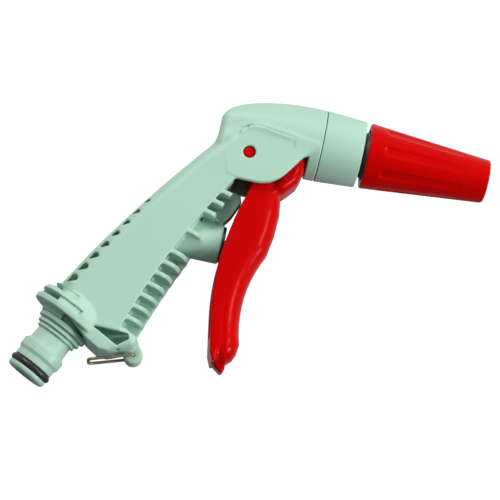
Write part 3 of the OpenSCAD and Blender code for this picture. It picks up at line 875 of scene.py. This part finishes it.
def nozzle_taper(along):
    """The nozzle's radius along its length."""
    return NOZZLE_R + (NOZZLE_TIP_R - NOZZLE_R) * (along - NOZZLE_X) / (TIP_X - NOZZLE_X)


def make_nozzle(materials):
    """The red twist nozzle, with long flutes round it and a recessed tip."""
    steps = 130
    start, end = NOZZLE_X + 0.7, TIP_X - 0.9
    side = [(x, nozzle_taper(x)) for x in np.linspace(start, end, steps)]
    base = rounded([
        (NOZZLE_X, SPIGOT_R + 0.1, 0.2), (NOZZLE_X, NOZZLE_R, 0.55),
        (start + 0.6, nozzle_taper(start + 0.6), 0)])
    tip = rounded([
        (end - 0.6, nozzle_taper(end - 0.6), 0), (TIP_X, nozzle_taper(TIP_X), 0.7), (TIP_X, 5, 0.3),
        (TIP_X - 3, 5, 0.2), (TIP_X - 3, 3.2, 0.15), (146.5, 3.2, 0), (140, 6, 0.3),
        (128, 8.1, 0), (128, SPIGOT_R + 0.1, 0)])
    profile = [*base[:-1], *side, *tip[1:]]
    first = len(base) - 1
    sides = 320

    def sink(along, turns):
        depth = nozzle_flutes(along, turns)
        depth[:first] = 0
        depth[first + steps:] = 0
        return depth

    points, faces = lathe(profile, sides, sink)
    add_piece("nozzle_fluted_sleeve", on_barrel(points), faces, "nozzle_sleeve", "nozzle", materials)


def make_spigot(materials):
    """The dark spigot that the nozzle screws along."""
    profile = rounded([
        (SPIGOT_X, 2.9, 0.1), (SPIGOT_X, 5.6, 0.2), (84.6, 5.6, 0), (84.6, SPIGOT_R, 0.1),
        (103.5, SPIGOT_R, 0.1), (103.7, SPIGOT_R - 0.35, 0.05), (104.1, SPIGOT_R - 0.35, 0.05),
        (104.3, SPIGOT_R, 0.1), (SPIGOT_END_X, SPIGOT_R, 0.4), (SPIGOT_END_X, 6, 0.2),
        (88.4, 6, 0), (88.4, 2.9, 0)])
    add_turned("outlet_spigot_tube", profile, 128, on_barrel, "outlet_spigot", materials)


def make_gland(materials):
    """The black nut that closes the valve's boss."""
    profile = rounded([
        (BOSS_END_X - 3.2, 2.1, 0), (BOSS_END_X - 3.2, 6.2, 0.2), (BOSS_END_X, 6.2, 0),
        (BOSS_END_X, 7, 0.2), (GLAND_END_X, 7, 0.35), (GLAND_END_X, 2.1, 0.3)])
    add_turned("gland_nut_cap", profile, 96, on_valve, "gland_nut", materials)


def make_pin(materials):
    """The trigger's pivot pin, with slightly domed ends a little below the cheeks."""
    end = CHEEK_HALF - 0.8
    profile = [(-end, 0.02), *((-end + 0.25 * (r / PIN_R) ** 3, r) for r in (0.8, 1.3, 1.7, 2)),
               (-end + 0.35, PIN_R - 0.1), (-end + 0.6, PIN_R)]
    profile = [*profile, *((-a, r) for a, r in reversed(profile))]
    points, faces = lathe(profile, 64)
    points = points[:, [1, 0, 2]] + np.array([PIVOT[0], 0, PIVOT[1]])
    faces = [face[::-1] for face in faces]
    add_piece("trigger_pivot_pin", points, faces, "trigger_pin", "body", materials)


# ---- Wire clip ----

def clip_path():
    """The wire's centre line in the clip's own plane: along, across."""
    length, half, bend, inner = 16.8, 5.5, 2, 1.8
    corner = arc((length - bend, half - bend), bend, 90, 0, 8)
    eye = arc((0.7, half - 0.7), 0.7, 180, 90, 5)
    side = [(0, inner), *eye, *corner]
    return [*((a, -b) for a, b in side), *reversed(side)]


def make_clip(materials):
    """The bent wire that locks the trigger."""
    sides = 16
    path = np.array(clip_path())
    along = np.array([math.cos(CLIP_REST), 0, math.sin(CLIP_REST)])
    lift = np.array([-math.sin(CLIP_REST), 0, math.cos(CLIP_REST)])
    across = np.array([0, 1, 0])
    run = np.gradient(path, axis=0)
    run /= np.linalg.norm(run, axis=1)[:, None]
    side = np.stack([run[:, 1], -run[:, 0]], 1)
    angles = np.arange(sides) * 2 * math.pi / sides
    rings = []
    for (a, b), (sa, sb) in zip(path, side):
        centre = np.array([CLIP_EYE[0], 0, CLIP_EYE[1]]) + a * along + b * across
        out = sa * along + sb * across
        rings.append([centre + WIRE_R * (math.cos(t) * out + math.sin(t) * lift) for t in angles])
    points = np.array(rings).reshape(-1, 3)
    faces = []
    for i in range(len(rings) - 1):
        for j in range(sides):
            n = (j + 1) % sides
            faces.append([i * sides + j, (i + 1) * sides + j, (i + 1) * sides + n, i * sides + n])
    last = (len(rings) - 1) * sides
    faces.append(list(range(sides)))
    faces.append([last + j for j in reversed(range(sides))])
    add_piece("lock_clip_wire", points, faces, "lock_clip", "lock_clip", materials)


def dress_cad_nodes(materials):
    """The finish of each CAD node that keeps its own mesh."""
    for name, node in frame["nodes"].items():
        node.data.materials.clear()
        node.data.materials.append(materials[SLOT_OF_NODE[name]])


bpy.context.scene.view_settings.view_transform = "Standard"
add_camera()
add_world()
add_floor()
add_area_light("key_light", (-0.35, -0.9, 0.95), 0.6, 9.4, (1, 0.99, 0.97))
add_area_light("side_light", (0.85, -0.35, -0.2), 0.2, 4.4, (0.97, 0.99, 1))
add_area_light("edge_light", (0.75, -0.62, 0.22), 0.12, 1.8, (1, 1, 1))
finishes = make_materials()
dress_cad_nodes(finishes)
for make in (make_body, make_trigger, make_plug, make_o_ring, make_collar, make_nozzle, make_spigot,
             make_gland, make_pin, make_clip):
    make(finishes)
